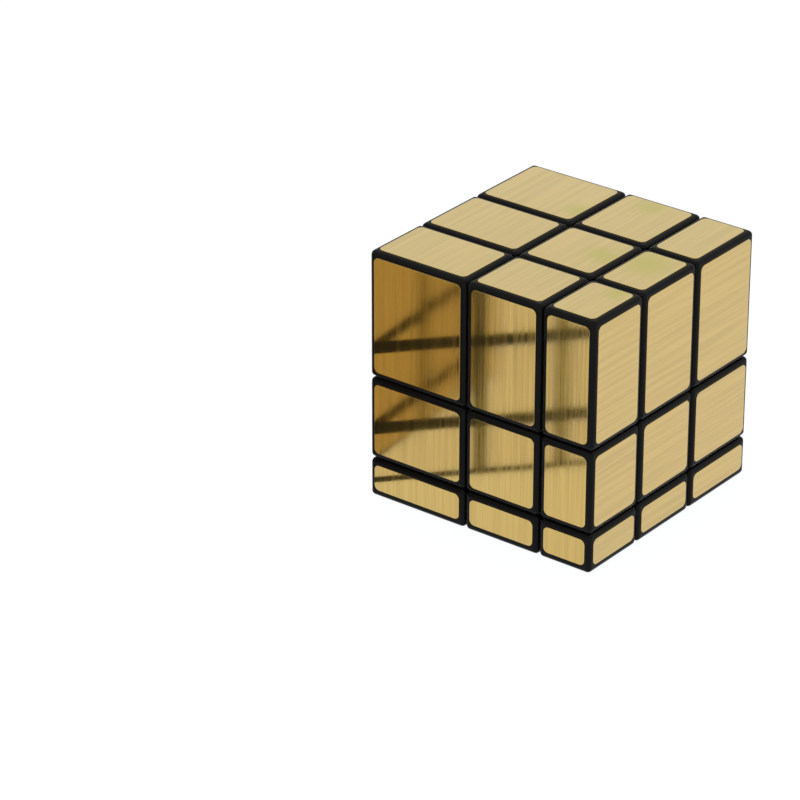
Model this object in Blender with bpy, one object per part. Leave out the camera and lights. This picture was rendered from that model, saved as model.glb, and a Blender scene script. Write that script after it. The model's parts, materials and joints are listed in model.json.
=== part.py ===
"""Mirror block cube: a three by three by three turning puzzle whose layers all differ in thickness.

Six centres turn on the arms of a core spider. Twelve edges hook under the centres, and eight corners
hook under the edges. Every surface between two layers is a surface of revolution about a face's axis,
so any layer can turn: a flat cut outside a round track, a shallow step inside it, and a ball in the
middle that holds the feet.

Metres, +Z up, with the origin at the middle of the assembled cube's underside. Pieces are modelled
about the middle of the core, which all joint axes pass through, and hang on one empty there.
"""
import math

import bmesh
import bpy
from mathutils import Matrix, Vector

MM = 0.001

# Assembled size and layers. Opposite layers share what the middle slice leaves of the side.
CUBE = 57.0 * MM            # side of the solved cube
MIDDLE = 19.0 * MM          # middle slice, the same on all three axes
BOTTOM_LAYER = 9.0 * MM     # thickness of the bottom layer
RIGHT_LAYER = 13.0 * MM     # thickness of the right layer
FRONT_LAYER = 17.0 * MM     # thickness of the front layer

# Fits and mouldings.
SEAM = 0.3 * MM             # gap between neighbouring pieces
EDGE_ROUND = 1.0 * MM       # rounding of the visible blocks
ROUND_STEPS = 4             # facets across that rounding
WALL = 1.6 * MM             # wall of a hollow block
ROUND_SIDES = 24            # facets around the turning surfaces
SMALL_SIDES = 16            # facets around the core's arms, wells, heads and washers
TINY_SIDES = 10             # facets around shanks, pins and holes

# Turning surfaces.
CAP_PLATE = 1.5 * MM        # cap on the thinnest layer, outside the track
TRACK_LIP = 0.6 * MM        # track radius less ball radius
NECK = 2.9 * MM             # depth of a corner's neck inside the ball
RETAIN = 3.0 * MM           # overlap that stops a foot pulling out
FOOT_THICK = 5.9 * MM       # thickness of a foot, along the ball's radius
PLUG = 5.7 * MM             # side of the plug that joins a corner's foot to its shell

# Centre, screw, washer and spring.
BORE = 3.3 * MM             # radius of the well in a centre's stem
FLOOR = 1.4 * MM            # floor of that well
SCREW = 1.2 * MM            # radius of the screw's shank
SCREW_TIP = 2.0 * MM        # from the middle of the core to a screw's tip
HEAD = 2.6 * MM             # radius of the screw's head
HEAD_HEIGHT = 1.8 * MM
HEAD_SINK = 0.5 * MM        # head below the top of the centre body
RECESS = 1.1 * MM           # depth of the cross recess
RECESS_WIDTH = 0.7 * MM
RECESS_LENGTH = 2.9 * MM
WASHER = 2.9 * MM           # radius of the washer
WASHER_THICK = 0.5 * MM
SPRING = 2.25 * MM          # radius of the spring, to the middle of its wire
SPRING_WIRE = 0.3 * MM      # radius of the spring's wire
SPRING_LENGTH = 4.1 * MM    # as fitted
SPRING_TURNS = 3.5
WIRE_SIDES = 5
ARM = 3.4 * MM              # radius of a core arm
ARM_STEP = 1.8 * MM         # arm beyond the core's hub
PIN = 0.8 * MM              # radius of a cap's pin
PIN_LENGTH = 1.5 * MM
PIN_WALL = 0.85 * MM        # flange left outside a pin's hole
POCKET_WALL = 1.0 * MM      # cap left between a pin and the pocket
VENT = 1.3 * MM             # radius of the core pin hole through an edge's foot

# Derived sizes.
GAP = SEAM / 2
HALF = MIDDLE / 2
TRACK = HALF + BOTTOM_LAYER - CAP_PLATE
BALL = TRACK - TRACK_LIP
STEP = (BALL - NECK) / math.sqrt(3)
STEM = STEP - RETAIN
FOOT_INNER = BALL - FOOT_THICK
SEAT = TRACK - GAP
CAP_FLOOR = TRACK + GAP
HEAD_TOP = SEAT - HEAD_SINK
HEAD_UNDER = HEAD_TOP - HEAD_HEIGHT
WASHER_TOP = HEAD_UNDER - SEAM
SPRING_TOP = WASHER_TOP - WASHER_THICK - SEAM
WELL_FLOOR = SPRING_TOP - SPRING_LENGTH - SEAM
STEM_END = WELL_FLOOR - FLOOR
ARM_END = STEM_END - SEAM
HUB = ARM_END - ARM_STEP
PIN_PLACE = STEP - GAP - PIN_WALL - SEAM - PIN
POCKET = math.sqrt(2) * PIN_PLACE - PIN - POCKET_WALL
FAR = CUBE                  # longer than any piece, for tools that run out of it

OUT = {
    "up": Vector((0, 0, 1)),
    "down": Vector((0, 0, -1)),
    "front": Vector((0, -1, 0)),
    "back": Vector((0, 1, 0)),
    "left": Vector((-1, 0, 0)),
    "right": Vector((1, 0, 0)),
}
PAIRS = (("down", "up", BOTTOM_LAYER), ("front", "back", FRONT_LAYER), ("right", "left", RIGHT_LAYER))
REACH = {}
for thin, thick, layer in PAIRS:
    REACH[thin] = HALF + layer
    REACH[thick] = HALF + CUBE - MIDDLE - layer

FINISHES = {
    "black_abs": ((0.012, 0.012, 0.014), 0.38, 0.0),
    "white_nylon": ((0.72, 0.71, 0.68), 0.45, 0.0),
    "zinc_steel": ((0.55, 0.56, 0.58), 0.32, 1.0),
    "spring_steel": ((0.38, 0.38, 0.40), 0.35, 1.0),
}


def finish(name, kind):
    """A material of its own for one piece."""
    colour, roughness, metallic = FINISHES[kind]
    material = bpy.data.materials.new(f"{name}_{kind}")
    material.use_nodes = True
    shader = material.node_tree.nodes["Principled BSDF"]
    shader.inputs["Base Color"].default_value = (*colour, 1.0)
    shader.inputs["Roughness"].default_value = roughness
    shader.inputs["Metallic"].default_value = metallic
    return material


def piece_from(bm, name):
    """Turn a bmesh into an object in the scene."""
    mesh = bpy.data.meshes.new(name)
    bm.to_mesh(mesh)
    bm.free()
    body = bpy.data.objects.new(name, mesh)
    bpy.context.scene.collection.objects.link(body)
    return body


def ordered(axes, spans):
    """Lowest and highest corner of a box given by its span along each of three directions."""
    ends = [axis * end for axis, span in zip(axes, spans) for end in span]
    low = Vector([sum(min(a[i], b[i]) for a, b in zip(ends[::2], ends[1::2])) for i in range(3)])
    high = Vector([sum(max(a[i], b[i]) for a, b in zip(ends[::2], ends[1::2])) for i in range(3)])
    return low, high


def block(name, axes, spans, rounding=0.0, sharp_side=None):
    """Box along three directions, its edges rounded except those on one side."""
    low, high = ordered(axes, spans)
    bm = bmesh.new()
    bmesh.ops.create_cube(bm, size=1.0)
    bmesh.ops.scale(bm, vec=high - low, verts=bm.verts)
    bmesh.ops.translate(bm, vec=(low + high) / 2, verts=bm.verts)
    if rounding:
        bm.normal_update()
        edges = [e for e in bm.edges if sharp_side is None
                 or all(f.normal.dot(sharp_side) < 0.5 for f in e.link_faces)]
        bmesh.ops.bevel(bm, geom=edges, offset=rounding, offset_type="OFFSET", affect="EDGES",
                        segments=ROUND_STEPS, profile=0.5, material=-1)
    return piece_from(bm, name)


def face_frame(out):
    """Turn that takes +Z to a direction, as three columns: across, along and out."""
    across = out.cross(out.yzx).normalized()
    return Matrix((across, out.cross(across), out)).transposed()


def rod(name, axis, radius, start, end, sides=ROUND_SIDES, at=Vector()):
    """Round bar along a direction, from start to end, beside the middle by at."""
    bm = bmesh.new()
    bmesh.ops.create_cone(bm, cap_ends=True, segments=sides, radius1=radius, radius2=radius,
                          depth=end - start)
    place = Matrix.Translation(axis * (start + end) / 2 + at)
    bmesh.ops.transform(bm, matrix=place @ face_frame(axis).to_4x4(), verts=bm.verts)
    return piece_from(bm, name)


def ball(name, radius, pole, sides=ROUND_SIDES):
    """Faceted ball with its poles along a direction."""
    bm = bmesh.new()
    bmesh.ops.create_uvsphere(bm, u_segments=sides, v_segments=sides // 2, radius=radius)
    bmesh.ops.rotate(bm, cent=Vector(), matrix=face_frame(pole), verts=bm.verts)
    return piece_from(bm, name)


def clear_radius(radius, curves=1):
    """Radius of a faceted hollow whose flats stay outside a true radius plus half a seam."""
    return (radius + GAP) / math.cos(math.pi / ROUND_SIDES) ** curves


def shape(body, tool, operation):
    """Join, cut or keep the shared part of two bodies, and take the tool away."""
    cut = body.modifiers.new("cut", "BOOLEAN")
    cut.operation = operation
    cut.solver = "EXACT"
    cut.object = tool
    graph = bpy.context.evaluated_depsgraph_get()
    result = bpy.data.meshes.new_from_object(body.evaluated_get(graph))
    body.modifiers.remove(cut)
    spent = [body.data, tool.data]
    body.data = result
    bpy.data.objects.remove(tool)
    for mesh in spent:
        bpy.data.meshes.remove(mesh)
    return body


def join(body, tool):
    return shape(body, tool, "UNION")


def cut(body, tool):
    return shape(body, tool, "DIFFERENCE")


def keep(body, tool):
    return shape(body, tool, "INTERSECT")


def complete(body, kind, middle):
    """Clean flat faces, shade the round ones smooth, give the finish and hang it on the core's middle."""
    bm = bmesh.new()
    bm.from_mesh(body.data)
    bmesh.ops.remove_doubles(bm, verts=bm.verts, dist=0.002 * MM)
    bmesh.ops.dissolve_limit(bm, angle_limit=math.radians(0.5), verts=bm.verts, edges=bm.edges)
    bm.to_mesh(body.data)
    bm.free()
    body.data.materials.clear()
    body.data.materials.append(finish(body.name, kind))
    body.data.shade_smooth()
    body.data.set_sharp_from_angle(angle=math.radians(35))
    body.parent = middle


def core_spider():
    """Hub with six arms, each bored for a tension screw."""
    body = ball("core_spider", HUB, OUT["up"], sides=SMALL_SIDES)
    for _, thick, _ in PAIRS:
        body = join(body, rod("arms", OUT[thick], ARM, -ARM_END, ARM_END, sides=SMALL_SIDES))
    for out in OUT.values():
        body = cut(body, rod("bore", out, SCREW + SEAM, SCREW_TIP - SEAM, FAR, sides=TINY_SIDES))
    return body


def side_axes(side):
    """A face's outward direction and two directions across it."""
    across, along, out = face_frame(OUT[side]).transposed()
    return out, across, along


def centre_body(side):
    """Square stem with a well for the screw, under a flange that rides on the ball."""
    axes = side_axes(side)
    out, across, along = axes
    width = STEP - GAP
    body = block(f"centre_body_{side}", axes, ((HALF, SEAT), (-width, width), (-width, width)))
    body = cut(body, ball("under", clear_radius(BALL, 2), out))
    stem = STEM - GAP
    body = join(body, block("stem", axes, ((STEM_END, SEAT), (-stem, stem), (-stem, stem))))
    body = cut(body, rod("well", out, BORE, WELL_FLOOR, FAR, sides=SMALL_SIDES))
    body = cut(body, rod("hole", out, SCREW + SEAM, 0, FAR, sides=TINY_SIDES))
    for at in pin_places(across, along):
        body = cut(body, rod("pin_hole", out, PIN + SEAM, HALF, FAR, sides=TINY_SIDES, at=at))
    return body


def pin_places(across, along):
    """The two places of a cap's pins, on a diagonal through the centre's axis."""
    return [(across + along) * way * PIN_PLACE for way in (-1, 1)]


def centre_cap(side):
    """Full-face cap of a centre, with a pocket where it is thick and two pins."""
    axes = side_axes(side)
    out, across, along = axes
    width = HALF - GAP
    body = block(f"centre_cap_{side}", axes, ((CAP_FLOOR, REACH[side]), (-width, width), (-width, width)),
                 rounding=min(EDGE_ROUND, (REACH[side] - CAP_FLOOR) * 0.8), sharp_side=-out)
    if REACH[side] - CAP_FLOOR > 2 * WALL:
        body = cut(body, rod("pocket", out, POCKET, 0, REACH[side] - WALL, sides=SMALL_SIDES))
    root = min(WALL, REACH[side] - CAP_FLOOR) / 2
    for at in pin_places(across, along):
        pin = rod("pin", out, PIN, CAP_FLOOR - PIN_LENGTH, CAP_FLOOR + root, sides=TINY_SIDES, at=at)
        body = join(body, pin)
    return body


def tension_screw(side):
    """Pan-head screw with a cross recess."""
    axes = side_axes(side)
    out, across, along = axes
    body = rod(f"tension_screw_{side}", out, HEAD, HEAD_UNDER, HEAD_TOP, sides=SMALL_SIDES)
    body = join(body, rod("shank", out, SCREW, SCREW_TIP, (HEAD_UNDER + HEAD_TOP) / 2, sides=TINY_SIDES))
    half, reach = RECESS_WIDTH / 2, RECESS_LENGTH / 2
    depth = (HEAD_TOP - RECESS, FAR)
    cross = block("slot", axes, (depth, (-half, half), (-reach, reach)))
    cross = join(cross, block("slot", axes, (depth, (-reach, reach), (-half, half))))
    return cut(body, cross)


def washer(side):
    """Flat washer between the screw's head and the spring."""
    out = OUT[side]
    body = rod(f"washer_{side}", out, WASHER, WASHER_TOP - WASHER_THICK, WASHER_TOP, sides=SMALL_SIDES)
    return cut(body, rod("hole", out, SCREW + SEAM, 0, FAR, sides=TINY_SIDES))


def spring(side):
    """Coil spring around the screw, between the well's floor and the washer."""
    steps = round(SPRING_TURNS * TINY_SIDES)
    rise = SPRING_LENGTH - 2 * SPRING_WIRE
    bm = bmesh.new()
    bmesh.ops.create_circle(bm, cap_ends=True, segments=WIRE_SIDES, radius=SPRING_WIRE)
    slope = math.atan2(rise / SPRING_TURNS, math.tau * SPRING)
    lay = Matrix.Rotation(math.pi / 2 - slope, 3, "X")
    bmesh.ops.rotate(bm, cent=Vector(), matrix=lay, verts=bm.verts)
    bmesh.ops.translate(bm, vec=(SPRING, 0, 0), verts=bm.verts)
    bmesh.ops.spin(bm, geom=bm.faces[:], cent=Vector(), axis=(0, 0, 1), dvec=(0, 0, rise / steps),
                   angle=SPRING_TURNS * math.tau, steps=steps)
    bmesh.ops.recalc_face_normals(bm, faces=bm.faces)
    place = Matrix.Translation(OUT[side] * (WELL_FLOOR + SEAM + SPRING_WIRE))
    bmesh.ops.transform(bm, matrix=place @ face_frame(OUT[side]).to_4x4(), verts=bm.verts)
    return piece_from(bm, f"spring_{side}")


def edge(side, other):
    """Edge piece: a hollow block on two faces, a neck in the tracks and a foot in the ball."""
    u, v = OUT[side], OUT[other]
    along = u.cross(v)
    axes = (along, u, v)
    width = HALF - GAP
    inner = HALF + GAP
    body = block(f"edge_{side}_{other}", axes,
                 ((-width, width), (inner, REACH[side]), (inner, REACH[other])), rounding=EDGE_ROUND)
    neck_low = STEP + GAP
    neck = block("neck", axes, ((-STEP, STEP), (neck_low, TRACK), (neck_low, TRACK)))
    neck = keep(neck, rod("track", u, TRACK - GAP, -FAR, FAR))
    neck = keep(neck, rod("track", v, TRACK - GAP, -FAR, FAR))
    body = join(body, neck)
    foot_low = STEM + GAP
    foot = block("foot", axes, ((-STEP, STEP), (foot_low, BALL), (foot_low, BALL)))
    foot = keep(foot, ball("foot_ball", BALL - GAP, along))
    body = join(body, foot)
    for way in (-1, 1):
        body = cut(body, rod("track_disc", along * way, clear_radius(TRACK), STEP - GAP, FAR))
        around = keep(ball("ball_side", clear_radius(BALL, 2), along),
                      block("side", axes, ((way * (STEM - GAP), way * FAR), (-FAR, FAR), (-FAR, FAR))))
        body = cut(body, around)
    body = cut(body, ball("core_room", clear_radius(FOOT_INNER, 2), along))
    hollow_low = math.sqrt((clear_radius(BALL, 2) + WALL) ** 2 / 2 - STEM ** 2 / 2)
    hollow_side = STEP - GAP - WALL
    hollow = block("hollow", axes, ((-hollow_side, hollow_side), (hollow_low, REACH[side] - WALL),
                                    (hollow_low, REACH[other] - WALL)))
    diagonal = (u + v).normalized()
    hollow = join(hollow, rod("vent", diagonal, VENT, 0, math.sqrt(2) * (hollow_low + WALL), sides=TINY_SIDES))
    return cut(body, hollow)


def corner_axes(sides):
    return [OUT[side] for side in sides]


def corner_shell(sides):
    """Outer shell of a corner: a hollow block, open at its inner corner for the foot's plug."""
    axes = corner_axes(sides)
    inner = HALF + GAP
    body = block(f"corner_shell_{'_'.join(sides)}", axes, [(inner, REACH[s]) for s in sides],
                 rounding=EDGE_ROUND)
    hollow = block("hollow", axes, [(inner + WALL, REACH[s] - WALL) for s in sides])
    hollow = join(hollow, block("mouth", axes, [(0, HALF + PLUG + GAP)] * 3))
    return cut(body, hollow)


def corner_foot(sides):
    """Foot of a corner: three plates in the tracks, a plug into the shell and a hook in the ball."""
    axes = corner_axes(sides)
    neck_low = STEP + GAP
    body = block(f"corner_foot_{'_'.join(sides)}", axes, [(neck_low, TRACK)] * 3)
    for axis in axes:
        body = keep(body, rod("track", axis, TRACK - GAP, -FAR, FAR))
    body = join(body, block("plug", axes, [(HALF + GAP, TRACK)] * 3))
    shell_room = block("shell_room", axes, [(HALF - GAP, FAR)] * 3)
    body = cut(body, cut(shell_room, block("plug_end", axes, [(0, HALF + PLUG - GAP)] * 3)))
    hook = block("hook", axes, [(STEM + GAP, BALL)] * 3)
    body = join(body, keep(hook, ball("hook_ball", BALL - GAP, axes[2])))
    return cut(body, ball("core_room", clear_radius(FOOT_INNER, 2), axes[2]))


def build():
    for leftover in list(bpy.data.objects):
        bpy.data.objects.remove(leftover)

    middle = bpy.data.objects.new("core_middle", None)
    bpy.context.scene.collection.objects.link(middle)
    middle.location = ((REACH["left"] - REACH["right"]) / 2, (REACH["front"] - REACH["back"]) / 2,
                       REACH["down"])

    complete(core_spider(), "white_nylon", middle)
    for side in OUT:
        complete(centre_body(side), "black_abs", middle)
        complete(centre_cap(side), "black_abs", middle)
        complete(tension_screw(side), "zinc_steel", middle)
        complete(washer(side), "zinc_steel", middle)
        complete(spring(side), "spring_steel", middle)
    for side in ("up", "down"):
        for other in ("front", "back", "left", "right"):
            complete(edge(side, other), "black_abs", middle)
    for side in ("front", "back"):
        for other in ("left", "right"):
            complete(edge(side, other), "black_abs", middle)
    for side in ("up", "down"):
        for depth in ("front", "back"):
            for other in ("left", "right"):
                complete(corner_shell((side, depth, other)), "black_abs", middle)
                complete(corner_foot((side, depth, other)), "black_abs", middle)


build()
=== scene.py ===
"""Looks of the mirror block cube, built round its packed frame.

Every visible block is a moulded shell with a brushed gold film on each outer face. The pieces
inside it, the core, centre bodies, feet, screws, springs and washers, are finished too, because a
cap that is pulled off shows them. Metres, +Z up, in the frame's own coordinates.
"""

import json
import math

import bmesh
import bpy
from bpy.props import FloatProperty, FloatVectorProperty, IntProperty, PointerProperty
from mathutils import Matrix, Vector

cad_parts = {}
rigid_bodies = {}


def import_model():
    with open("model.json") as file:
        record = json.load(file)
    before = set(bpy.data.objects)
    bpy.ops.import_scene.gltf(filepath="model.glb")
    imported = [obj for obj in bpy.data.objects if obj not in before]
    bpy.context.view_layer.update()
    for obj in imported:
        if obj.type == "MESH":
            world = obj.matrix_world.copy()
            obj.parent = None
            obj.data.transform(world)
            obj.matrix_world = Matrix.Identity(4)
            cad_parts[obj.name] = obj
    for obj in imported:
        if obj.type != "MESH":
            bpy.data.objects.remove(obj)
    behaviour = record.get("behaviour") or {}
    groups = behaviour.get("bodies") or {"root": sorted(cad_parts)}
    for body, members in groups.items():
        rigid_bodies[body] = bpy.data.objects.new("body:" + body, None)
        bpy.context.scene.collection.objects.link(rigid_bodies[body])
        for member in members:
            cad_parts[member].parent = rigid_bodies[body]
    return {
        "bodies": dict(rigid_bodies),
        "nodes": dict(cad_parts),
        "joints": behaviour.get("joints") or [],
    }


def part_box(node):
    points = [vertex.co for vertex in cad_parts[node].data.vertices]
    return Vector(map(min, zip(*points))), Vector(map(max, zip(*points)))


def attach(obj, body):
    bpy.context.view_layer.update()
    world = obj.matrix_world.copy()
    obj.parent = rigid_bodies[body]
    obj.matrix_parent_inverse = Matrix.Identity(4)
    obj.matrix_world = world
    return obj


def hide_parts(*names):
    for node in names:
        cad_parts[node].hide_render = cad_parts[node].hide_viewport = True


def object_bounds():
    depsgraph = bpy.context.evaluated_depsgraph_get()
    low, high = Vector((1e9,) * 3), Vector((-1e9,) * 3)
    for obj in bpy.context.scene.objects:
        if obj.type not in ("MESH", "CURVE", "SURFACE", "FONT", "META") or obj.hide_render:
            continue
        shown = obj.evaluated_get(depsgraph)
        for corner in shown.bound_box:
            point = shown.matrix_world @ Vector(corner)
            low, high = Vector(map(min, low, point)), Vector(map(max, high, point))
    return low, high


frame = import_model()
CAD_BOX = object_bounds()

bl_info = {
    "name": "Mirror Block Cube",
    "version": (1, 0, 0),
    "blender": (4, 5, 0),
    "location": "3D View > Sidebar > Block Cube",
    "description": "Moulded blocks, brushed gold film and a sprung core for a mirror block cube",
    "category": "Add Mesh",
}

MM = 0.001
SIDES = ("up", "down", "front", "back", "left", "right")
OUT = {
    "up": Vector((0, 0, 1)),
    "down": Vector((0, 0, -1)),
    "front": Vector((0, -1, 0)),
    "back": Vector((0, 1, 0)),
    "left": Vector((-1, 0, 0)),
    "right": Vector((1, 0, 0)),
}
# Each axis with its low side and its high side, in the order in which a block's name lists them.
AXES = ((2, "down", "up"), (1, "front", "back"), (0, "left", "right"))
CORE = Vector(next(j["pos_m"] for j in frame["joints"] if j["name"] == "turn_up"))
SEAM = 0.3 * MM
MIDDLE_HALF = (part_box("centre_cap_up")[1].x - CORE.x) + SEAM / 2
WELD = 0.002 * MM                   # points closer than this are one point
SMOOTH_ANGLE = math.radians(35)     # flatter joints than this are shaded round
FILM_COUNT = 54

# Marks on the top that thumbs have left: each one's place from the core, and its radius, in mm.
THUMBS = (((5.2, 0.9, 38.5), 6.5), ((14.6, 3.2, 38.5), 9.5), ((-1.0, 26.7, 38.5), 5.5),
          ((-12.3, 15.6, 38.5), 5.0), ((18.0, -12.3, 38.5), 4.5))
# Films whose blocks sit a little crooked, so that they look this many degrees upwards.
LEANS = {
    ("front", "edge_up_front"): 0.4,
    ("front", "corner_up_front_right"): 0.25,
}


def linear(hex_code):
    """An sRGB hex colour as the linear values that a shader takes."""
    parts = [int(hex_code[i:i + 2], 16) / 255 for i in (1, 3, 5)]
    return tuple(c / 12.92 if c <= 0.04045 else ((c + 0.055) / 1.055) ** 2.4 for c in parts)


def colour_property(name, description, hex_code):
    return FloatVectorProperty(name=name, description=description, default=linear(hex_code),
                               subtype="COLOR", size=3, min=0.0, max=1.0)


def length_property(name, description, default):
    return FloatProperty(name=name, description=description, default=default,
                         subtype="DISTANCE", unit="LENGTH", min=0.0)


def angle_property(name, description, degrees):
    return FloatProperty(name=name, description=description, default=math.radians(degrees),
                         subtype="ANGLE", unit="ROTATION")


class BlockSettings(bpy.types.PropertyGroup):
    """Moulded blocks and the moulded pieces inside."""

    colour: colour_property("Block colour", "Black of the moulded blocks", "#0b0b0b")
    roughness: FloatProperty(name="Block roughness", description="Satin of the mould's flats",
                             default=0.4, min=0.0, max=1.0)
    core_colour: colour_property("Core colour", "Natural white of the core", "#dcdad2")


class FilmSettings(bpy.types.PropertyGroup):
    """Brushed gold film on the blocks."""

    seam_margin: length_property("Margin at a seam", "Block left bare beside a seam", 1.24 * MM)
    edge_margin: length_property("Margin at an edge", "Block left bare beside an outer edge",
                                 1.24 * MM)
    foot_margin: length_property("Margin at the foot", "Block left bare under the lowest films",
                                 1.66 * MM)
    corner: length_property("Corner radius", "Radius of a film's corners", 1.2 * MM)
    corner_steps: IntProperty(name="Corner steps", description="Facets round a film's corner",
                              default=6, min=1, max=16)
    thick: length_property("Thickness", "How far the film stands proud", 0.12 * MM)
    rim: length_property("Rim", "Rounding of the die-cut rim", 0.05 * MM)
    colour: colour_property("Film colour", "Gold between the brush marks", "#cbab59")
    streak_colour: colour_property("Streak colour", "Gold inside the brush marks", "#bea052")


class WorksSettings(bpy.types.PropertyGroup):
    """Screws, springs and washers inside the cube."""

    thread_pitch: length_property("Thread pitch", "Pitch of the tension screws", 0.9 * MM)
    thread_depth: length_property("Thread depth", "Height of the thread's ridge", 0.22 * MM)
    recess_length: length_property("Recess length", "Length of the cross recess", 2.9 * MM)
    recess_width: length_property("Recess width", "Width of the cross recess", 0.7 * MM)
    recess_depth: length_property("Recess depth", "Depth of the cross recess", 1.1 * MM)
    spring_turns: FloatProperty(name="Spring turns", description="Coils of a centre's spring",
                                default=3.5, min=1.0)
    wire: length_property("Spring wire", "Radius of the spring wire", 0.3 * MM)


class StageSettings(bpy.types.PropertyGroup):
    """Camera, floor and light."""

    azimuth: angle_property("Azimuth", "Camera's way round from the front, to the right", 38.0)
    elevation: angle_property("Elevation", "Camera's height above the horizon", 26.8)
    lens: FloatProperty(name="Lens", description="Focal length in millimetres", default=178.6)
    distance: length_property("Distance", "From the core to the camera", 833.8 * MM)
    aside: length_property("Aside", "How far right of the middle the cube stands", 37.2 * MM)
    below: length_property("Below", "How far under the middle the cube stands", 3.63 * MM)
    floor_colour: colour_property("Floor colour", "Pale floor", "#484848")
    glow: FloatProperty(name="Floor glow", description="Light that comes up through the floor",
                        default=0.985, min=0.0)
    room_colour: colour_property("Room colour", "White of the surroundings", "#f9fcf6")
    room_light: FloatProperty(name="Room light", description="Brightness of the surroundings",
                              default=1.02, min=0.0)
    board_place: FloatVectorProperty(
        name="Board's place", description="Near corner of the silvered board, from the core",
        default=(-2.9 * MM, -69.2 * MM), size=2, subtype="TRANSLATION", unit="LENGTH")
    board_turn: angle_property("Board's turn", "Which way the silvered board faces", 42.0)
    softbox: FloatProperty(name="Softbox", description="Power of the overhead softbox, in watts",
                           default=2.2, min=0.0)


# Shader helpers.


def add_node(tree, kind, inputs=None, **settings):
    """Adds a node. Settings are its own values, and inputs gives a socket a value or a link."""
    made = tree.nodes.new(kind)
    for name, value in settings.items():
        setattr(made, name, value)
    for key, value in (inputs or {}).items():
        if isinstance(value, bpy.types.NodeSocket):
            tree.links.new(value, made.inputs[key])
        else:
            made.inputs[key].default_value = value
    return made


def new_material(name):
    """An empty node material: its tree and its output node."""
    material = bpy.data.materials.new(name)
    material.use_nodes = True
    tree = material.node_tree
    tree.nodes.clear()
    return material, tree, tree.nodes.new("ShaderNodeOutputMaterial")


def pick(sockets, kind):
    """The first socket of that type, because a Mix node has one set for each data type."""
    return next(s for s in sockets if s.type == kind)


def mix_colours(tree, factor, dark, light):
    """A colour between dark and light, each a colour or a socket, by the factor's socket."""
    made = tree.nodes.new("ShaderNodeMix")
    made.data_type = "RGBA"
    tree.links.new(factor, made.inputs[0])
    for socket, value in zip([s for s in made.inputs if s.type == "RGBA"], (dark, light)):
        if isinstance(value, bpy.types.NodeSocket):
            tree.links.new(value, socket)
        else:
            socket.default_value = (*value, 1.0)
    return pick(made.outputs, "RGBA")


def show_from_front(tree, shader, output):
    """Links a shader to the output so that a face vanishes when it is seen from behind."""
    clear = tree.nodes.new("ShaderNodeBsdfTransparent")
    side = tree.nodes.new("ShaderNodeNewGeometry")
    shown = add_node(tree, "ShaderNodeMixShader", {
        0: side.outputs["Backfacing"], 1: shader.outputs[0], 2: clear.outputs[0]})
    tree.links.new(shown.outputs[0], output.inputs[0])


def black_abs(colour, roughness):
    """Black ABS, injection moulded in a satin mould: an even deep black whose rounded edges are
    rubbed smoother by handling, so that they catch a thin cool line of light."""
    grain_size = 0.16 * MM      # a real mould's texture is nearer 0.05 mm, too fine to show
    handling_size = 6.0 * MM    # patches that fingers leave
    material, tree, output = new_material("black_abs_moulded")
    place = add_node(tree, "ShaderNodeTexCoord")
    grain = add_node(tree, "ShaderNodeTexNoise", {
        "Vector": place.outputs["Object"], "Scale": 1 / grain_size, "Detail": 2.0})
    patches = add_node(tree, "ShaderNodeTexNoise", {
        "Vector": place.outputs["Object"], "Scale": 1 / handling_size, "Detail": 3.0})
    # On a flat one part of the normal is 1, and on a rounding none is, which finds the roundings.
    bare = add_node(tree, "ShaderNodeVectorMath", {0: place.outputs["Normal"]},
                    operation="ABSOLUTE")
    parts = add_node(tree, "ShaderNodeSeparateXYZ", {0: bare.outputs[0]})
    longer = add_node(tree, "ShaderNodeMath", {0: parts.outputs[0], 1: parts.outputs[1]},
                      operation="MAXIMUM")
    longest = add_node(tree, "ShaderNodeMath", {0: longer.outputs[0], 1: parts.outputs[2]},
                       operation="MAXIMUM")
    flat = add_node(tree, "ShaderNodeMapRange", {
        "Value": longest.outputs[0], "From Min": 0.80, "From Max": 0.99})
    satin = add_node(tree, "ShaderNodeMapRange", {
        "Value": patches.outputs[0], "From Min": 0.3, "From Max": 0.7,
        "To Min": roughness - 0.05, "To Max": roughness + 0.07})
    polished = add_node(tree, "ShaderNodeMapRange", {
        "Value": flat.outputs[0], "To Min": -0.27, "To Max": 0.0})
    rough = add_node(tree, "ShaderNodeMath", {0: satin.outputs[0], 1: polished.outputs[0]},
                     operation="ADD")
    tone = mix_colours(tree, patches.outputs[0], [c * 0.8 for c in colour],
                       [c * 1.25 for c in colour])
    bump = add_node(tree, "ShaderNodeBump", {
        "Height": grain.outputs[0], "Strength": 0.5, "Distance": 0.004 * MM})
    # The mould's fine texture traps most of the gloss, and dust gives a faint sheen.
    shader = add_node(tree, "ShaderNodeBsdfPrincipled", {
        "Base Color": tone, "Roughness": rough.outputs[0],
        "IOR": 1.53, "Specular IOR Level": 0.07,
        "Sheen Weight": 0.15, "Sheen Roughness": 0.25, "Normal": bump.outputs[0]})
    tree.links.new(shader.outputs[0], output.inputs[0])
    return material


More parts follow.
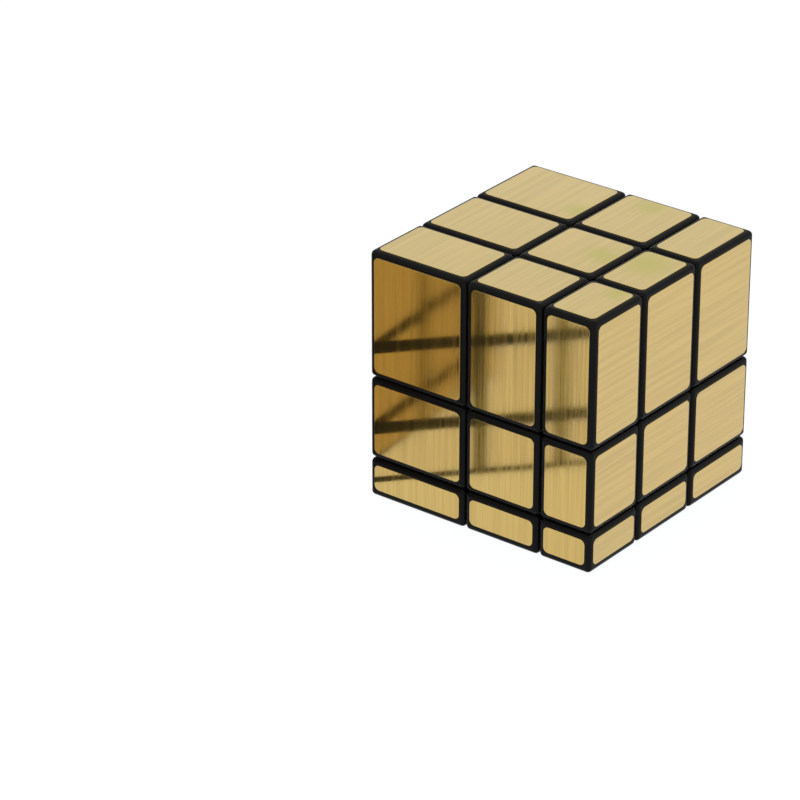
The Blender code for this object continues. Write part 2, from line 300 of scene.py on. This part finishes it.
def thumb_marks(tree):
    """How far the lacquer has gone greenish where thumbs rest, from 0 to 1."""
    place = add_node(tree, "ShaderNodeTexCoord")
    patch = 4.0 * MM        # the marks fade in patches of about this size
    uneven = add_node(tree, "ShaderNodeTexNoise", {
        "Vector": place.outputs["Object"], "Scale": 1 / patch, "Detail": 2.0})
    worn = None
    for middle, radius in THUMBS:
        away = add_node(tree, "ShaderNodeVectorMath", {
            0: place.outputs["Object"], 1: CORE + Vector(middle) * MM}, operation="DISTANCE")
        mark = add_node(tree, "ShaderNodeMapRange", {
            "Value": away.outputs["Value"], "From Min": 0.0, "From Max": radius * MM,
            "To Min": 1.0, "To Max": 0.0}, interpolation_type="SMOOTHSTEP")
        worn = mark if worn is None else add_node(tree, "ShaderNodeMath", {
            0: worn.outputs[0], 1: mark.outputs[0]}, operation="MAXIMUM")
    patchy = add_node(tree, "ShaderNodeMapRange", {
        "Value": uneven.outputs[0], "From Min": 0.2, "From Max": 0.42})
    return add_node(tree, "ShaderNodeMath", {0: worn.outputs[0], 1: patchy.outputs[0]},
                    operation="MULTIPLY").outputs[0]


def gold_film(colour, streak_colour):
    """Gold-tinted aluminium film under clear lacquer, brushed one way: close to a mirror along
    the brushing and blurred across it, with fine darker lines and broader bands, and greenish
    where thumbs have worn it."""
    fine = 0.13 * MM        # real brush marks are 0.02 to 0.05 mm, too fine to show
    line = 0.42 * MM        # darker lines that stand out between them
    band = 1.1 * MM         # broader bands that the belt's wear leaves
    run = 34.0 * MM         # how long a mark runs
    wave = 9.0 * MM         # slow unevenness of the glued film
    faint, strong = 0.75, 1.2       # where two summed patterns start and end to count
    worn_gold = linear("#b3a21c")   # lacquer gone greenish under thumbs
    material, tree, output = new_material("gold_film_brushed")
    brushing = add_node(tree, "ShaderNodeUVMap", uv_map="brushing")

    def marks(across, along, detail):
        scaled = add_node(tree, "ShaderNodeMapping", {
            "Vector": brushing.outputs[0], "Scale": (1 / across, 1 / along, 1.0)})
        return add_node(tree, "ShaderNodeTexNoise", {
            "Vector": scaled.outputs[0], "Scale": 1.0, "Detail": detail, "Roughness": 0.6},
            noise_dimensions="2D").outputs[0]

    fine_marks = marks(fine, run, 2.0)
    lines = marks(line, run, 2.0)
    bands = marks(band, run, 1.0)
    unevenness = marks(wave, wave, 1.0)
    tone = add_node(tree, "ShaderNodeMath", {0: lines, 1: bands}, operation="ADD")
    gloss = add_node(tree, "ShaderNodeMath", {0: lines, 1: fine_marks}, operation="ADD")
    share = add_node(tree, "ShaderNodeMapRange", {
        "Value": tone.outputs[0], "From Min": faint, "From Max": strong})
    clean = mix_colours(tree, share.outputs[0], streak_colour, colour)
    gold = mix_colours(tree, thumb_marks(tree), clean, worn_gold)
    rough = add_node(tree, "ShaderNodeMapRange", {
        "Value": gloss.outputs[0], "From Min": faint, "From Max": strong,
        "To Min": 0.18, "To Max": 0.09})
    # A block that sits a little crooked mirrors a little higher or lower than its neighbours.
    lean = add_node(tree, "ShaderNodeAttribute", attribute_name="lean")
    facing = add_node(tree, "ShaderNodeNewGeometry")
    leaning = add_node(tree, "ShaderNodeVectorMath", {
        0: facing.outputs["Normal"], 1: lean.outputs["Vector"]}, operation="ADD")
    crooked = add_node(tree, "ShaderNodeVectorMath", {0: leaning.outputs[0]},
                       operation="NORMALIZE")
    # Real marks are a few thousandths of a millimetre deep, and a glued film waves a little more.
    fine_bump = add_node(tree, "ShaderNodeBump", {
        "Height": fine_marks, "Strength": 1.0, "Distance": 0.0016 * MM,
        "Normal": crooked.outputs[0]})
    line_bump = add_node(tree, "ShaderNodeBump", {
        "Height": lines, "Strength": 1.0, "Distance": 0.0035 * MM,
        "Normal": fine_bump.outputs[0]})
    wave_bump = add_node(tree, "ShaderNodeBump", {
        "Height": unevenness, "Strength": 1.0, "Distance": 0.012 * MM,
        "Normal": line_bump.outputs[0]})
    tangent = add_node(tree, "ShaderNodeTangent", direction_type="UV_MAP", uv_map="brushing")
    shader = add_node(tree, "ShaderNodeBsdfPrincipled", {
        "Base Color": gold, "Metallic": 1.0, "Roughness": rough.outputs[0],
        "Anisotropic": 0.6, "Tangent": tangent.outputs[0], "Normal": wave_bump.outputs[0],
        "Coat Weight": 1.0, "Coat Roughness": 0.08, "Coat IOR": 1.5})
    tree.links.new(shader.outputs[0], output.inputs[0])
    return material


def nylon_natural(colour):
    """Natural nylon as moulded: milky off-white, a little see-through, with a dull fine grain."""
    material, tree, output = new_material("nylon_natural_moulded")
    place = add_node(tree, "ShaderNodeTexCoord")
    grain = add_node(tree, "ShaderNodeTexNoise", {
        "Vector": place.outputs["Object"], "Scale": 1 / (0.25 * MM), "Detail": 3.0})
    flow = add_node(tree, "ShaderNodeTexNoise", {
        "Vector": place.outputs["Object"], "Scale": 1 / (5.0 * MM), "Detail": 2.0})
    milk = mix_colours(tree, flow.outputs[0], [c * 0.88 for c in colour], colour)
    rough = add_node(tree, "ShaderNodeMapRange", {
        "Value": grain.outputs[0], "To Min": 0.42, "To Max": 0.58})
    bump = add_node(tree, "ShaderNodeBump", {
        "Height": grain.outputs[0], "Strength": 0.5, "Distance": 0.01 * MM})
    shader = add_node(tree, "ShaderNodeBsdfPrincipled", {
        "Base Color": milk, "Roughness": rough.outputs[0], "IOR": 1.53,
        "Subsurface Weight": 0.15, "Subsurface Scale": 1.0 * MM, "Normal": bump.outputs[0]})
    tree.links.new(shader.outputs[0], output.inputs[0])
    return material


def steel(name, dark, light, smoothest, roughest, mark):
    """A bare or plated steel whose brightness and gloss vary with fine marks of that size."""
    material, tree, output = new_material(name)
    place = add_node(tree, "ShaderNodeTexCoord")
    scratches = add_node(tree, "ShaderNodeTexNoise", {
        "Vector": place.outputs["Object"], "Scale": 1 / mark, "Detail": 4.0, "Roughness": 0.65})
    cloud = add_node(tree, "ShaderNodeTexNoise", {
        "Vector": place.outputs["Object"], "Scale": 1 / (12 * mark), "Detail": 2.0})
    grey = mix_colours(tree, cloud.outputs[0], linear(dark), linear(light))
    rough = add_node(tree, "ShaderNodeMapRange", {
        "Value": scratches.outputs[0], "To Min": smoothest, "To Max": roughest})
    bump = add_node(tree, "ShaderNodeBump", {
        "Height": scratches.outputs[0], "Strength": 0.4, "Distance": 0.004 * MM})
    shader = add_node(tree, "ShaderNodeBsdfPrincipled", {
        "Base Color": grey, "Metallic": 1.0, "Roughness": rough.outputs[0],
        "Normal": bump.outputs[0]})
    tree.links.new(shader.outputs[0], output.inputs[0])
    return material


def zinc_plated_steel():
    """Bright zinc on a cold-formed screw: pale cool grey, softly mottled, a little scratched."""
    return steel("steel_zinc_plated", "#a9adb3", "#c9ccd1", 0.22, 0.4, 0.2 * MM)


def spring_wire():
    """Hard-drawn spring wire under a trace of oil: darker grey, drawn smooth."""
    return steel("steel_spring_wire", "#7d7e82", "#9b9ca1", 0.2, 0.34, 0.12 * MM)


# Mesh helpers.


MATERIAL_OF = {}


def shared(make, *values):
    """The material that make builds, made once."""
    found = bpy.data.materials.get(MATERIAL_OF.get(make.__name__, ""))
    if found is None:
        found = make(*values)
        MATERIAL_OF[make.__name__] = found.name
    return found


def new_piece(name, body, material, shape):
    """Turns a bmesh into a finished piece: shaded, in the scene and riding on its body."""
    mesh = bpy.data.meshes.new(name)
    shape.to_mesh(mesh)
    shape.free()
    mesh.materials.append(material)
    mesh.shade_smooth()
    mesh.set_sharp_from_angle(angle=SMOOTH_ANGLE)
    piece = bpy.data.objects.new(name, mesh)
    bpy.context.scene.collection.objects.link(piece)
    weigh = piece.modifiers.new("flats_stay_flat", "WEIGHTED_NORMAL")
    weigh.keep_sharp = True
    weigh.weight = 100
    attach(piece, body)
    return piece


def merged_copy(node):
    """A CAD node's shape as one joined surface, with its flats as whole faces."""
    shape = bmesh.new()
    shape.from_mesh(frame["nodes"][node].data)
    bmesh.ops.remove_doubles(shape, verts=shape.verts, dist=WELD)
    bmesh.ops.dissolve_limit(shape, angle_limit=math.radians(0.5), verts=shape.verts,
                             edges=shape.edges)
    for face in shape.faces:
        face.material_index = 0
    return shape


def outward(side):
    """The turn from +Z to a side, about the core."""
    turned = OUT[side].to_track_quat("Z", "Y").to_matrix().to_4x4()
    return Matrix.Translation(CORE) @ turned


def reach(node, side):
    """How far from the core a node starts and ends along a side."""
    ends = [(corner - CORE).dot(OUT[side]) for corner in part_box(node)]
    return min(ends), max(ends)


def half_width(node, side):
    """Half of a node's width across a side's direction."""
    low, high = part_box(node)
    return max((high - low)[k] for k in range(3) if not OUT[side][k]) / 2


def bodies_with(prefix):
    """The frame's bodies whose names start so, in the frame's order."""
    return [name for name in frame["bodies"] if name.startswith(prefix)]


def block_name(sides):
    """The body that has these outer sides: a cap for one, an edge for two, a corner for three."""
    listed = [side for axis in AXES for side in axis[1:] if side in sides]
    return {1: "cap", 2: "edge", 3: "corner"}[len(listed)] + "_" + "_".join(listed)


# Operators.


class BLOCKCUBE_OT_blocks(bpy.types.Operator):
    """Mould the twenty-six visible blocks"""

    bl_idname = "block_cube.blocks"
    bl_label = "Blocks"

    def execute(self, context):
        settings = context.scene.cube_blocks
        plastic = shared(black_abs, settings.colour, settings.roughness)
        for body in bodies_with("cap_") + bodies_with("edge_") + bodies_with("corner_"):
            kind, _, sides = body.partition("_")
            node = {"cap": f"centre_cap_{sides}", "edge": body,
                    "corner": f"corner_shell_{sides}"}[kind]
            block = new_piece(f"{kind}_block_{sides}", body, plastic,
                              merged_copy(node))
            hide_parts(node)
        return {"FINISHED"}


class BLOCKCUBE_OT_films(bpy.types.Operator):
    """Lay the fifty-four brushed gold films on the outer faces"""

    bl_idname = "block_cube.films"
    bl_label = "Gold films"

    def execute(self, context):
        settings = context.scene.cube_films
        gold = shared(gold_film, settings.colour, settings.streak_colour)
        count = 0
        for side in SIDES:
            for sides, low, high in self.places(side, settings):
                count += 1
                shape = self.film(side, low, high, settings, count)
                body = block_name(sides)
                piece = new_piece(f"film_{side}_{body}", body, gold, shape)
                lean = piece.data.attributes.new("lean", "FLOAT_VECTOR", "POINT")
                upward = math.radians(LEANS.get((side, body), 0.0))
                for point in lean.data:
                    point.vector = (0, 0, upward)
        if count != FILM_COUNT:
            raise RuntimeError(f"{count} films were laid instead of {FILM_COUNT}")
        return {"FINISHED"}

    def places(self, side, settings):
        """Each film of a side: its block's outer sides and its low and high corners."""
        axis = max(range(3), key=lambda k: abs(OUT[side][k]))
        level = CAD_BOX[1][axis] if OUT[side][axis] > 0 else CAD_BOX[0][axis]
        others = [row for row in AXES if row[0] != axis]
        for i, first in self.spans(others[0], settings):
            for j, second in self.spans(others[1], settings):
                low, high = Vector(), Vector()
                low[axis] = high[axis] = level
                low[others[0][0]], high[others[0][0]] = first
                low[others[1][0]], high[others[1][0]] = second
                yield [s for s in (side, i, j) if s], low, high

    def spans(self, row, settings):
        """The low, middle and high stretch that films take along an axis, with their sides."""
        axis, low_side, high_side = row
        core = CORE[axis]
        bare = settings.seam_margin + SEAM / 2
        first = settings.foot_margin if low_side == "down" else settings.edge_margin
        return (
            (low_side, (CAD_BOX[0][axis] + first, core - MIDDLE_HALF - bare)),
            (None, (core - MIDDLE_HALF + bare, core + MIDDLE_HALF - bare)),
            (high_side, (core + MIDDLE_HALF + bare, CAD_BOX[1][axis] - settings.edge_margin)),
        )

    def film(self, side, low, high, settings, count):
        """A thin plate with rounded corners and a rounded rim, sunk a little into its block."""
        sunk = 0.03 * MM
        out = OUT[side]
        shape = bmesh.new()
        bmesh.ops.create_grid(shape, x_segments=1, y_segments=1, size=0.5)
        turn = out.to_track_quat("Z", "Y").to_matrix()
        size = turn.inverted() @ (high - low)
        bmesh.ops.scale(shape, vec=(abs(size.x), abs(size.y), 1.0), verts=shape.verts)
        bmesh.ops.bevel(shape, geom=shape.verts, offset=settings.corner, affect="VERTICES",
                        segments=settings.corner_steps, profile=0.5, material=-1)
        grown = bmesh.ops.extrude_face_region(shape, geom=shape.faces[:])
        top = [v for v in grown["geom"] if isinstance(v, bmesh.types.BMVert)]
        bmesh.ops.translate(shape, vec=(0, 0, settings.thick + sunk), verts=top)
        bmesh.ops.recalc_face_normals(shape, faces=shape.faces)
        rim = [e for e in shape.edges if all(v in top for v in e.verts)]
        bmesh.ops.bevel(shape, geom=rim, offset=settings.rim, affect="EDGES", segments=3,
                        profile=0.5, material=-1, clamp_overlap=True)
        place = Matrix.Translation((low + high) / 2 - out * sunk) @ turn.to_4x4()
        bmesh.ops.transform(shape, matrix=place, verts=shape.verts)
        self.brush(shape, side, count)
        return shape

    def brush(self, shape, side, count):
        """Writes the brushing as a UV map in metres: u across the marks and v along them."""
        roll_step = 63.1 * MM       # each film is cut from another stretch of the roll
        spare = roll_step * count
        upright, level, deep = Vector((0, 0, 1)), Vector((1, 0, 0)), Vector((0, 1, 0))
        if side in ("front", "back"):
            across, along = level, upright
        elif side in ("up", "down"):
            across, along = level, deep
        else:
            across, along = upright, deep
        uv = shape.loops.layers.uv.new("brushing")
        for face in shape.faces:
            for loop in face.loops:
                point = loop.vert.co
                loop[uv].uv = (point.dot(across) + spare, point.dot(along) + spare)


class BLOCKCUBE_OT_mechanism(bpy.types.Operator):
    """Finish the moulded core, the centre bodies and the corners' feet"""

    bl_idname = "block_cube.mechanism"
    bl_label = "Core, centres and feet"

    def execute(self, context):
        settings = context.scene.cube_blocks
        plastic = shared(black_abs, settings.colour, settings.roughness)
        nylon = shared(nylon_natural, settings.core_colour)
        core = new_piece("core_cross", "core", nylon, merged_copy("core_spider"))
        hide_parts("core_spider")
        for side in SIDES:
            hub = new_piece(f"centre_hub_{side}", f"centre_{side}", plastic,
                            merged_copy(f"centre_body_{side}"))
            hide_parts(f"centre_body_{side}")
        for body in bodies_with("corner_"):
            node = body.replace("corner_", "corner_foot_")
            foot = new_piece(body.replace("corner_", "corner_hook_"), body, plastic,
                             merged_copy(node))
            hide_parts(node)
        return {"FINISHED"}


class BLOCKCUBE_OT_screws(bpy.types.Operator):
    """Turn the six tension screws, with their threads and cross recesses"""

    bl_idname = "block_cube.screws"
    bl_label = "Tension screws"

    def execute(self, context):
        settings = context.scene.cube_works
        zinc = shared(zinc_plated_steel)
        for side in SIDES:
            node = f"tension_screw_{side}"
            shape = self.screw(settings, *reach(node, side), side)
            screw = new_piece(f"screw_{side}", "core", zinc, shape)
            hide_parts(node)
        return {"FINISHED"}

    def screw(self, settings, tip, top, side):
        """A pan-headed screw: a spun body, a thread wound on it, and a cross cut in its head."""
        head, head_high, dome = 2.6 * MM, 1.8 * MM, 0.35 * MM
        shank, point, plain, ease = 1.2 * MM, 1.2 * MM, 2.0 * MM, 0.15 * MM
        root = shank - settings.thread_depth
        shape = bmesh.new()
        profile = [(0, tip), (root * 0.35, tip), (root, tip + point), (root, top - head_high),
                   (head - ease, top - head_high), (head, top - head_high + ease),
                   (head, top - dome - 2 * ease), (head - 0.12 * MM, top - dome),
                   (head * 0.8, top - 0.1 * MM), (head * 0.5, top), (0, top)]
        spun_profile(shape, profile, 40)
        solid = bpy.data.meshes.new("screw_body")
        shape.to_mesh(solid)
        shape.free()
        cross = bmesh.new()
        for quarter in (0, 1):
            made = bmesh.ops.create_cube(cross, size=1.0)["verts"]
            size = (settings.recess_length, settings.recess_width, 2 * settings.recess_depth)
            bmesh.ops.scale(cross, vec=size, verts=made)
            turn = Matrix.Rotation(quarter * math.pi / 2, 4, "Z")
            bmesh.ops.transform(cross, matrix=Matrix.Translation((0, 0, top)) @ turn, verts=made)
        recess = bpy.data.meshes.new("screw_recess")
        cross.to_mesh(recess)
        cross.free()
        cut = cut_away(solid, recess)
        shape = bmesh.new()
        shape.from_mesh(cut)
        bpy.data.meshes.remove(cut)
        wind_thread(shape, root, settings, tip + point, top - head_high - plain)
        bmesh.ops.transform(shape, matrix=outward(side), verts=shape.verts)
        return shape


class BLOCKCUBE_OT_springs(bpy.types.Operator):
    """Wind the six springs that hold the centres down"""

    bl_idname = "block_cube.springs"
    bl_label = "Springs"

    def execute(self, context):
        settings = context.scene.cube_works
        wire = shared(spring_wire)
        for side in SIDES:
            node = f"spring_{side}"
            shape = self.coil(settings, node, side)
            spring = new_piece(f"coil_spring_{side}", "core", wire, shape)
            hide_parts(node)
        return {"FINISHED"}

    def coil(self, settings, node, side):
        """A round wire swept up a screw line, with a flat ring of wire closing each end."""
        low, high = reach(node, side)
        radius = half_width(node, side) - settings.wire
        shape = bmesh.new()
        steps = 28
        rise = (high - low) - 2 * settings.wire
        for base in (low + settings.wire, high - settings.wire):
            ring = wire_section(shape, settings.wire, radius, base)
            bmesh.ops.spin(shape, geom=ring, cent=(0, 0, 0), axis=(0, 0, 1), dvec=(0, 0, 0),
                           angle=math.tau, steps=steps, use_merge=True, use_duplicate=False)
        ring = wire_section(shape, settings.wire, radius, low + settings.wire)
        count = round(steps * settings.spring_turns)
        bmesh.ops.spin(shape, geom=ring, cent=(0, 0, 0), axis=(0, 0, 1),
                       dvec=(0, 0, rise / count), angle=math.tau * settings.spring_turns,
                       steps=count, use_merge=False, use_duplicate=False)
        bmesh.ops.holes_fill(shape, edges=shape.edges, sides=0)
        bmesh.ops.recalc_face_normals(shape, faces=shape.faces)
        bmesh.ops.transform(shape, matrix=outward(side), verts=shape.verts)
        return shape


class BLOCKCUBE_OT_washers(bpy.types.Operator):
    """Stamp the six washers between the screws and the springs"""

    bl_idname = "block_cube.washers"
    bl_label = "Washers"

    def execute(self, context):
        zinc = shared(zinc_plated_steel)
        for side in SIDES:
            node = f"washer_{side}"
            low, high = reach(node, side)
            outer = half_width(node, side)
            inner, ease = 1.45 * MM, 0.08 * MM
            shape = bmesh.new()
            profile = [(inner + ease, low), (outer - ease, low), (outer, low + ease),
                       (outer, high - ease), (outer - ease, high), (inner + ease, high),
                       (inner, high - ease), (inner, low + ease)]
            spun_profile(shape, profile, 48, closed=True)
            bmesh.ops.transform(shape, matrix=outward(side), verts=shape.verts)
            washer = new_piece(f"flat_washer_{side}", "core", zinc, shape)
            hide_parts(node)
        return {"FINISHED"}


def spun_profile(shape, profile, steps, closed=False):
    """Spins (radius, height) points about +Z into a closed body whose faces point outwards."""
    points = [shape.verts.new((x, 0, z)) for x, z in profile]
    pairs = list(zip(points, points[1:])) + ([(points[-1], points[0])] if closed else [])
    lines = [shape.edges.new(pair) for pair in pairs]
    bmesh.ops.spin(shape, geom=points + lines, cent=(0, 0, 0), axis=(0, 0, 1), dvec=(0, 0, 0),
                   angle=math.tau, steps=steps, use_merge=True, use_duplicate=False)
    bmesh.ops.remove_doubles(shape, verts=shape.verts, dist=WELD)
    bmesh.ops.recalc_face_normals(shape, faces=shape.faces)


def wire_section(shape, wire, radius, height):
    """A circle of wire standing across the coil's line, ready to be swept."""
    made = bmesh.ops.create_circle(shape, cap_ends=False, radius=wire, segments=12)["verts"]
    stand = Matrix.Translation((radius, 0, height)) @ Matrix.Rotation(math.pi / 2, 4, "X")
    bmesh.ops.transform(shape, matrix=stand, verts=made)
    return made + list({edge for vert in made for edge in vert.link_edges})


def wind_thread(shape, root, settings, start, end):
    """Winds a three-cornered ridge round the shank, its foot sunk in the root."""
    sunk, half = 0.06 * MM, 0.22 * MM
    steps = 24
    turns = (end - start) / settings.thread_pitch
    corners = [(root - sunk, start - half), (root + settings.thread_depth, start),
               (root - sunk, start + half)]
    points = [shape.verts.new((x, 0, z)) for x, z in corners]
    lines = [shape.edges.new((points[k], points[k - 1])) for k in range(3)]
    count = round(steps * turns)
    bmesh.ops.spin(shape, geom=points + lines, cent=(0, 0, 0), axis=(0, 0, 1),
                   dvec=(0, 0, settings.thread_pitch / steps),
                   angle=math.tau * count / steps, steps=count, use_merge=False,
                   use_duplicate=False)
    bmesh.ops.holes_fill(shape, edges=[e for e in shape.edges if e.is_boundary], sides=0)
    bmesh.ops.recalc_face_normals(shape, faces=shape.faces)


def cut_away(solid, tool):
    """The solid's mesh less the tool's, by a Boolean. Both meshes are used up."""
    body = bpy.data.objects.new("cutting_body", solid)
    cutter = bpy.data.objects.new("cutting_tool", tool)
    for thing in (body, cutter):
        bpy.context.scene.collection.objects.link(thing)
    cut = body.modifiers.new("cut", "BOOLEAN")
    cut.operation = "DIFFERENCE"
    cut.object = cutter
    seen = bpy.context.evaluated_depsgraph_get()
    result = bpy.data.meshes.new_from_object(body.evaluated_get(seen))
    for thing in (body, cutter):
        bpy.data.objects.remove(thing)
    for mesh in (solid, tool):
        bpy.data.meshes.remove(mesh)
    return result


class BLOCKCUBE_OT_stage(bpy.types.Operator):
    """Set up the pale floor, the soft light and the camera"""

    bl_idname = "block_cube.stage"
    bl_label = "Stage"

    def execute(self, context):
        settings = context.scene.cube_stage
        context.scene.view_settings.view_transform = "Standard"
        self.camera(context, settings)
        self.floor(context, settings)
        self.room(context, settings)
        self.board(context, settings)
        self.softbox(context, settings)
        return {"FINISHED"}

    def camera(self, context, settings):
        """A long lens that looks level with its own axes at a point beside the core."""
        a, e = settings.azimuth, settings.elevation
        back = Vector((math.sin(a) * math.cos(e), -math.cos(a) * math.cos(e), math.sin(e)))
        right = Vector((math.cos(a), math.sin(a), 0))
        over = back.cross(right)
        camera = bpy.data.objects.new("camera", bpy.data.cameras.new("camera"))
        camera.data.lens = settings.lens
        camera.data.sensor_width = 36.0
        camera.data.clip_start = 0.05
        camera.data.clip_end = 50.0
        axes = Matrix((right, over, back)).transposed().to_4x4()
        place = CORE - right * settings.aside + over * settings.below + back * settings.distance
        camera.matrix_world = Matrix.Translation(place) @ axes
        context.scene.collection.objects.link(camera)
        context.scene.camera = camera

    def floor(self, context, settings):
        """A wide glowing floor under the films of the cube's underside, clear from below."""
        half_wide = 6.0
        fibre = 0.8 * MM
        cool_white = (0.96, 0.97, 1.0, 1.0)
        material, tree, output = new_material("floor_matt_paper")
        place = add_node(tree, "ShaderNodeTexCoord")
        fibres = add_node(tree, "ShaderNodeTexNoise", {
            "Vector": place.outputs["Object"], "Scale": 1 / fibre, "Detail": 2.0})
        pale = mix_colours(tree, fibres.outputs[0], [c * 0.985 for c in settings.floor_colour],
                           settings.floor_colour)
        matt = add_node(tree, "ShaderNodeBsdfDiffuse", {"Color": pale})
        glow = add_node(tree, "ShaderNodeEmission", {
            "Color": cool_white, "Strength": settings.glow})
        lit = add_node(tree, "ShaderNodeAddShader", {0: matt.outputs[0], 1: glow.outputs[0]})
        show_from_front(tree, lit, output)
        shape = bmesh.new()
        bmesh.ops.create_grid(shape, x_segments=1, y_segments=1, size=half_wide)
        level = CAD_BOX[0].z - context.scene.cube_films.thick
        bmesh.ops.translate(shape, vec=(0, 0, level), verts=shape.verts)
        mesh = bpy.data.meshes.new("floor")
        shape.to_mesh(mesh)
        shape.free()
        mesh.materials.append(material)
        floor = bpy.data.objects.new("floor", mesh)
        context.scene.collection.objects.link(floor)

    def room(self, context, settings):
        """Even surroundings: a near white for light, and plain white behind the cube."""
        white = (1.0, 1.0, 1.0, 1.0)
        world = bpy.data.worlds.new("white_room")
        world.use_nodes = True
        context.scene.world = world
        tree = world.node_tree
        tree.nodes.clear()
        seen = add_node(tree, "ShaderNodeBackground", {"Color": white, "Strength": 1.0})
        sky = add_node(tree, "ShaderNodeBackground", {
            "Color": (*settings.room_colour, 1.0), "Strength": settings.room_light})
        path = tree.nodes.new("ShaderNodeLightPath")
        both = add_node(tree, "ShaderNodeMixShader", {
            0: path.outputs["Is Camera Ray"], 1: sky.outputs[0], 2: seen.outputs[0]})
        output = tree.nodes.new("ShaderNodeOutputWorld")
        tree.links.new(both.outputs[0], output.inputs[0])

    def board(self, context, settings):
        """A silvered board with dark bars, close by on the left, which only reflections show."""
        columns, rows = (10.4 * MM, 17.7 * MM, 28.9 * MM), (13.0 * MM, 19.0 * MM, 25.0 * MM)
        bar, behind = 2.8 * MM, 0.1 * MM
        shape = bmesh.new()

        def pane(low, high, index, depth):
            made = bmesh.ops.create_grid(shape, x_segments=1, y_segments=1, size=0.5)["verts"]
            bmesh.ops.scale(shape, vec=(high[0] - low[0], high[1] - low[1], 1.0), verts=made)
            middle = ((low[0] + high[0]) / 2, (low[1] + high[1]) / 2, -depth)
            bmesh.ops.translate(shape, vec=middle, verts=made)
            made[0].link_faces[0].material_index = index

        pane((0, 0), (sum(columns), sum(rows)), 1, behind)
        left = 0.0
        for wide in columns:
            low = 0.0
            for high in rows:
                pane((left + bar / 2, low + bar / 2),
                     (left + wide - bar / 2, low + high - bar / 2), 0, 0.0)
                low += high
            left += wide
        stand = (Matrix.Translation((CORE.x + settings.board_place[0],
                                     CORE.y + settings.board_place[1], 0))
                 @ Matrix.Rotation(settings.board_turn + math.pi / 2, 4, "Z")
                 @ Matrix.Rotation(math.pi / 2, 4, "X"))
        bmesh.ops.transform(shape, matrix=stand, verts=shape.verts)
        mesh = bpy.data.meshes.new("silvered_board")
        shape.to_mesh(mesh)
        shape.free()
        mesh.materials.append(self.one_sided("board_silver", "#f9f6f3", 1.0, 0.07))
        mesh.materials.append(self.one_sided("board_bars", "#1a1a1a", 0.0, 0.5))
        board = bpy.data.objects.new("silvered_board", mesh)
        board.visible_camera = False
        board.visible_diffuse = False
        board.visible_shadow = False
        context.scene.collection.objects.link(board)

    def one_sided(self, name, colour, metallic, roughness):
        """A finish that vanishes from behind."""
        material, tree, output = new_material(name)
        front = add_node(tree, "ShaderNodeBsdfPrincipled", {
            "Base Color": (*linear(colour), 1.0), "Metallic": metallic, "Roughness": roughness})
        show_from_front(tree, front, output)
        return material

    def softbox(self, context, settings):
        """One wide softbox overhead, which lights the cube but isn't mirrored in it."""
        width, place = 0.8, Vector((-0.1, 0.1, 1.0))
        light = bpy.data.lights.new("softbox", "AREA")
        light.shape = "SQUARE"
        light.size = width
        light.energy = settings.softbox
        lamp = bpy.data.objects.new("softbox", light)
        lamp.location = CORE + place
        lamp.visible_glossy = False
        context.scene.collection.objects.link(lamp)


class BLOCKCUBE_PT_panel(bpy.types.Panel):
    """The cube's pieces and its stage, each with a button"""

    bl_idname = "BLOCKCUBE_PT_panel"
    bl_label = "Mirror Block Cube"
    bl_space_type = "VIEW_3D"
    bl_region_type = "UI"
    bl_category = "Block Cube"

    def draw(self, context):
        layout = self.layout
        for group in SETTINGS:
            box = layout.box()
            box.label(text=SETTINGS[group].__doc__)
            settings = getattr(context.scene, group)
            for name in settings.__annotations__:
                box.prop(settings, name)
        for operator in OPERATORS:
            layout.operator(operator.bl_idname)


SETTINGS = {
    "cube_blocks": BlockSettings,
    "cube_films": FilmSettings,
    "cube_works": WorksSettings,
    "cube_stage": StageSettings,
}
OPERATORS = (
    BLOCKCUBE_OT_blocks,
    BLOCKCUBE_OT_films,
    BLOCKCUBE_OT_mechanism,
    BLOCKCUBE_OT_screws,
    BLOCKCUBE_OT_springs,
    BLOCKCUBE_OT_washers,
    BLOCKCUBE_OT_stage,
)


def register():
    for made in (*SETTINGS.values(), *OPERATORS, BLOCKCUBE_PT_panel):
        bpy.utils.register_class(made)
    for name, group in SETTINGS.items():
        setattr(bpy.types.Scene, name, PointerProperty(type=group))


def unregister():
    for name in SETTINGS:
        delattr(bpy.types.Scene, name)
    for made in (BLOCKCUBE_PT_panel, *reversed(OPERATORS), *reversed(SETTINGS.values())):
        bpy.utils.unregister_class(made)


def main():
    register()
    bpy.ops.block_cube.blocks()
    bpy.ops.block_cube.films()
    bpy.ops.block_cube.mechanism()
    bpy.ops.block_cube.screws()
    bpy.ops.block_cube.springs()
    bpy.ops.block_cube.washers()
    bpy.ops.block_cube.stage()


if __name__ == "__main__":
    main()
